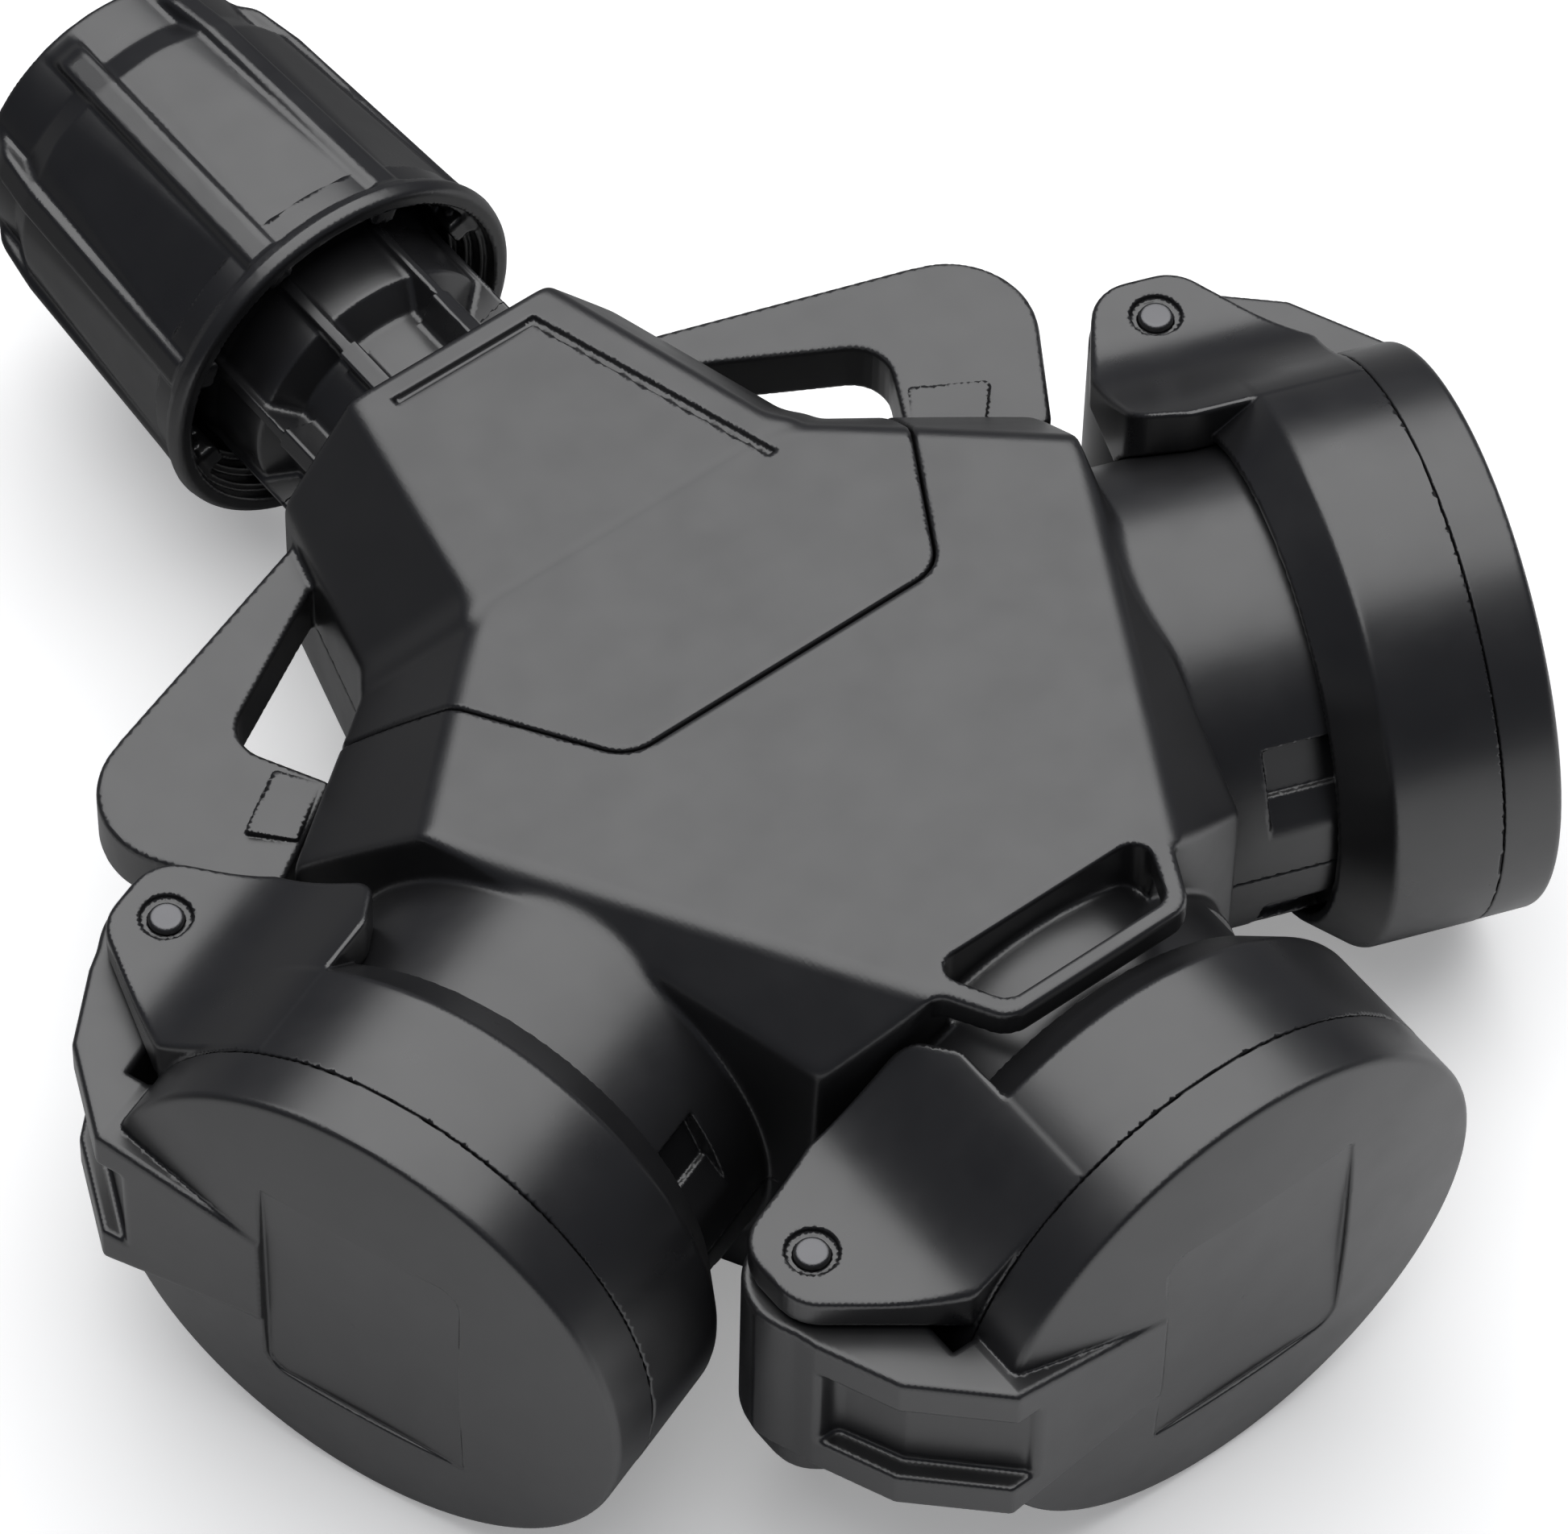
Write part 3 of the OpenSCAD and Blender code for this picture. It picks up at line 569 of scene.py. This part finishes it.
def lid(b, h, a, panel_sign):
    cap = outline(np.hypot(b, h), a, CAP)
    dome = np.sqrt(b * b + h * h + (a - CROWN + DOME_R) ** 2) - DOME_R
    cap = smooth_max(cap, dome, 0.8)
    half = 10.9 - 3.9 * np.clip((29.5 - b) / 19, 0, 1)
    arm = smooth_min(outline(b, a, ARM), disc(b, a, *HINGE, 6.9), 0.5)
    arm = smooth_max(arm, np.abs(h) - half, 0.9)
    shape = smooth_min(cap, arm, 0.3)
    shape = carve(shape, common(outline(b, h * panel_sign, PANEL), 77.0 - a, k=0.2), 0.3)
    shape = carve(shape, slab(outline(b, a, GRIP), h, -6, 6, 0.8), 0.7)
    from_pin = disc(b, a, *HINGE, 0)
    shape = carve(shape, from_pin - 1.9, 0.2)
    return carve(shape, slab(from_pin - 4.2, h, -4.5, 4.5, 0.3), 0.3)


def hinge_pin(b, h, a):
    return slab(disc(b, a, *HINGE, PIN_R), h, -LUG_HIGH, LUG_HIGH, 0.6)


# ---- gland ----

# Outlines as (radius, distance along the gland, rounding)
NUT_RING = rounded([(20, 73.5, 0.3), (21.9, 73.5, 1.1), (22.2, 75, 0.7), (21.8, 76, 0.4), (20.9, 76.4, 0.6),
    (20.6, 80, 0), (18.8, 106.5, 2), (17.3, 110, 2), (17, 117, 0.9), (14.2, 117.4, 0.5), (12, 115.5, 0.4),
    (12, 112, 0.3), (16, 112, 0.2), (16, 108, 0), (16.6, 106, 0), (16.6, 81, 0), (17.4, 80, 0.3),
    (17.4, 78.2, 0.3), (18.3, 78.2, 0.2), (18.3, 76.6, 0.3), (19.2, 76.6, 0.2), (19.2, 75, 0.3),
    (20, 75, 0.2)])
NUT_RIB = rounded([(16.9, 75, 0), (21.6, 75, 0), (21.25, 80, 0), (19.9, 106, 8), (18.9, 112.5, 5),
    (15.2, 118, 2), (14.2, 117, 0), (14.2, 113, 0), (16.9, 112, 0)])
GLAND_CORE = rounded([(8, 46.9, 0), (15, 46.9, 0.3), (15, 51.7, 0.3), (12, 51.7, 0), (12, 66, 1),
    (15.1, 68.5, 0.6), (15.1, 76, 0), (16.1, 79, 0.3), (16.1, 94, 0.5), (13.6, 94, 0.3), (13.6, 70, 0),
    (8, 70, 0)])
PANEL_FRONT, PANEL_OUT, PANEL_FALL, RIB_HALF = 79.6, 19.85, 0.042, 1.75
RIBS = 8


def sector(u, v, count, phase):
    """Radius and sideways distance from the nearest of some evenly spaced spokes."""
    angle = np.arctan2(v, u) - phase
    turn = 2 * math.pi / count
    angle = angle - turn * np.round(angle / turn)
    r = np.hypot(u, v)
    return r * np.cos(angle), r * np.sin(angle)


def gland_nut(u, v, w):
    """Ribbed grip with flat panels between the ribs, which run out to a point toward the rear."""
    out, across = sector(u, v, RIBS, math.pi / RIBS)
    ring = outline(np.hypot(u, v), w, NUT_RING)
    panel_out = sector(u, v, RIBS, 0)[0]
    panel = common(PANEL_OUT - PANEL_FALL * (w - 80) - panel_out, PANEL_FRONT - w, k=0.15)
    ring = carve(ring, panel, 0.15)
    rib = slab(outline(out, w, NUT_RIB), across, -RIB_HALF, RIB_HALF, 0.9)
    return smooth_min(ring, rib, 0.8)


def gland_body(u, v, w):
    """Hollow core with eight fins, each thinner toward the nut."""
    out, across = sector(u, v, RIBS, math.pi / RIBS)
    core = outline(np.hypot(u, v), w, GLAND_CORE)
    thick = np.where(w < 64.5, 1.15, 0.7)
    fin = common(out - 16.0, np.abs(across) - thick, 55.1 - w, w - 79, 10 - out)
    return smooth_min(core, fin, 0.8)


# ---- pieces ----

STILL = Matrix.Identity(4)


def add(name, field, low, high, step, keep, place, material, body):
    """One moulded piece that stands for the CAD node of the same name."""
    solid = solid_of(field, low, high, step, keep)
    place_solid(name + "_moulded", solid, place, material, body, [name])


def build_housing():
    for name, field, low, high, step, keep in (
            ("front_housing", front_housing, (-62, -62, 30), (62, 42, 62), 0.5, 0.3),
            ("rear_cover", rear_cover, (-61, -4, 30), (61, 56, 58), 0.5, 0.35),
            ("lower_housing", lower_housing, (-62, -62, -1), (62, 56, 32), 0.6, 0.25)):
        add(name, field, low, high, step, keep, STILL, HOUSING, "housing")


def build_sockets():
    ring = solid_of(collar, (-31, -31, 43), (44, 31, 70), 0.45, 0.35)
    caps = {sign: solid_of(functools.partial(lid, panel_sign=sign), (-31, -31, 47), (45, 31, 79), 0.45, 0.35)
        for sign in (1, -1)}
    pin = solid_of(hinge_pin, (34, -16, 52), (40, 16, 57), 0.3, 0.5)
    for side in SIDES:
        place = socket_place(side)
        place_solid(f"collar_{side}_moulded", ring, place, SOCKET, "housing",
            [f"collar_{side}"])
        place_solid(f"lid_{side}_moulded", caps[1 if side == "front" else -1], place, LID, f"lid_{side}",
            [f"lid_{side}"])
        place_solid(f"hinge_pin_{side}_turned", pin, place, PIN_STEEL, "housing",
            [f"hinge_pin_{side}"])


def build_gland():
    add("gland_nut", gland_nut, (-22, -22, 73), (22, 22, 119), 0.45, 0.35,
        GLAND_PLACE, GLAND, "gland_nut")
    add("gland_body", gland_body, (-17, -17, 46), (17, 17, 95), 0.45, 0.35,
        GLAND_PLACE, GLAND, "housing")


def finish_cad_nodes():
    """Materials for the inner CAD nodes that stay."""
    looks = {"housing_seal": RUBBER, "housing_screws": SCREW, "phase_bar": BRASS, "neutral_bar": BRASS,
        "earth_bar": BRASS, "terminal_block": TERMINAL, "terminal_screws": SCREW, "cable_seal": RUBBER,
        "clamp_ring": GLAND}
    for side in SIDES:
        looks |= {f"lid_gasket_{side}": RUBBER, f"lid_spring_{side}": SPRING, f"socket_insert_{side}": INSERT,
            f"earth_clip_{side}": BRONZE}
    for name, material in looks.items():
        node = frame["nodes"][name]
        node.data.materials.clear()
        node.data.materials.append(material)


# ---- stage, light and camera ----

CAMERA_TARGET = Vector((-16.88, 6.74, 40.93)) * MM
CAMERA_AZIMUTH, CAMERA_ELEVATION, CAMERA_DISTANCE = math.radians(-37.21), math.radians(53.86), 0.9649


def set_camera():
    back = Vector((math.sin(CAMERA_AZIMUTH) * math.cos(CAMERA_ELEVATION),
        -math.cos(CAMERA_AZIMUTH) * math.cos(CAMERA_ELEVATION), math.sin(CAMERA_ELEVATION)))
    data = bpy.data.cameras.new("camera")
    data.lens, data.sensor_width = 217.2, 36
    data.shift_x, data.shift_y = 0.119, 0.007
    camera = bpy.data.objects.new("camera", data)
    camera.location = CAMERA_TARGET + back * CAMERA_DISTANCE
    camera.rotation_euler = back.to_track_quat("Z", "Y").to_euler()
    bpy.context.scene.collection.objects.link(camera)
    bpy.context.scene.camera = camera


def set_stage():
    """A plain floor, pale to the eye; in reflections and bounce light its colour carries painted shade, pale
    in front and dim at the back.
    """
    mesh = bpy.data.meshes.new("floor")
    reach = 6
    corners = [(-reach, -reach, 0), (reach, -reach, 0), (reach, reach, 0), (-reach, reach, 0)]
    mesh.from_pydata(corners, [], [(0, 1, 2, 3)])
    material = bpy.data.materials.new("floor")
    material.use_nodes = True
    nodes, links = material.node_tree.nodes, material.node_tree.links
    shader, path = nodes["Principled BSDF"], nodes.new("ShaderNodeLightPath")
    pale_or_painted_shade_tone = nodes.new("ShaderNodeMix")
    pale_or_painted_shade_tone.data_type = "RGBA"
    place, split = nodes.new("ShaderNodeTexCoord"), nodes.new("ShaderNodeSeparateXYZ")
    links.new(place.outputs["Object"], split.inputs["Vector"])
    # Painted shade: seen in reflections and bounce light, the floor's colour falls from pale in front to dim
    # at the back
    painted_reflection_shade = nodes.new("ShaderNodeMapRange")
    painted_reflection_shade.inputs["From Min"].default_value, painted_reflection_shade.inputs["From Max"].default_value = -0.1, 0.15
    painted_reflection_shade.inputs["To Min"].default_value, painted_reflection_shade.inputs["To Max"].default_value = 0.95, 0.12
    links.new(split.outputs["Y"], painted_reflection_shade.inputs["Value"])
    links.new(painted_reflection_shade.outputs["Result"], pale_or_painted_shade_tone.inputs["A"])
    pale_or_painted_shade_tone.inputs["B"].default_value = (0.9, 0.9, 0.9, 1)
    links.new(path.outputs["Is Camera Ray"], pale_or_painted_shade_tone.inputs["Factor"])
    links.new(pale_or_painted_shade_tone.outputs["Result"], shader.inputs["Base Color"])
    shader.inputs["Roughness"].default_value = 0.9
    shader.inputs["Emission Color"].default_value = (0.3, 0.3, 0.3, 1)
    links.new(path.outputs["Is Camera Ray"], shader.inputs["Emission Strength"])
    mesh.materials.append(material)
    floor = bpy.data.objects.new("floor", mesh)
    bpy.context.scene.collection.objects.link(floor)
    bpy.context.scene.view_settings.view_transform = "Standard"
    set_world()
    overhead_light()


def set_world():
    """Dim surroundings that shade the moulded sides, behind which the view itself stays pale."""
    world = bpy.data.worlds.new("studio")
    world.use_nodes = True
    nodes, links = world.node_tree.nodes, world.node_tree.links
    dim, pale = nodes["Background"], nodes.new("ShaderNodeBackground")
    dim.inputs["Color"].default_value = (0.8, 0.84, 1.0, 1)
    dim.inputs["Strength"].default_value = 0.09
    pale.inputs["Color"].default_value = (0.85, 0.85, 0.85, 1)
    mix, path = nodes.new("ShaderNodeMixShader"), nodes.new("ShaderNodeLightPath")
    links.new(path.outputs["Is Camera Ray"], mix.inputs["Fac"])
    links.new(dim.outputs["Background"], mix.inputs[1])
    links.new(pale.outputs["Background"], mix.inputs[2])
    links.new(mix.outputs["Shader"], nodes["World Output"].inputs["Surface"])
    bpy.context.scene.world = world


def overhead_light():
    """One large soft box over the object."""
    data = bpy.data.lights.new("soft_box", "AREA")
    data.shape, data.size, data.energy = "SQUARE", 2.4, 42
    light = bpy.data.objects.new("soft_box", data)
    light.location = (0.5, 0.6, 1.35)
    light.visible_camera = False
    bpy.context.scene.collection.objects.link(light)


set_camera()
build_housing()
build_sockets()
build_gland()
finish_cad_nodes()
set_stage()
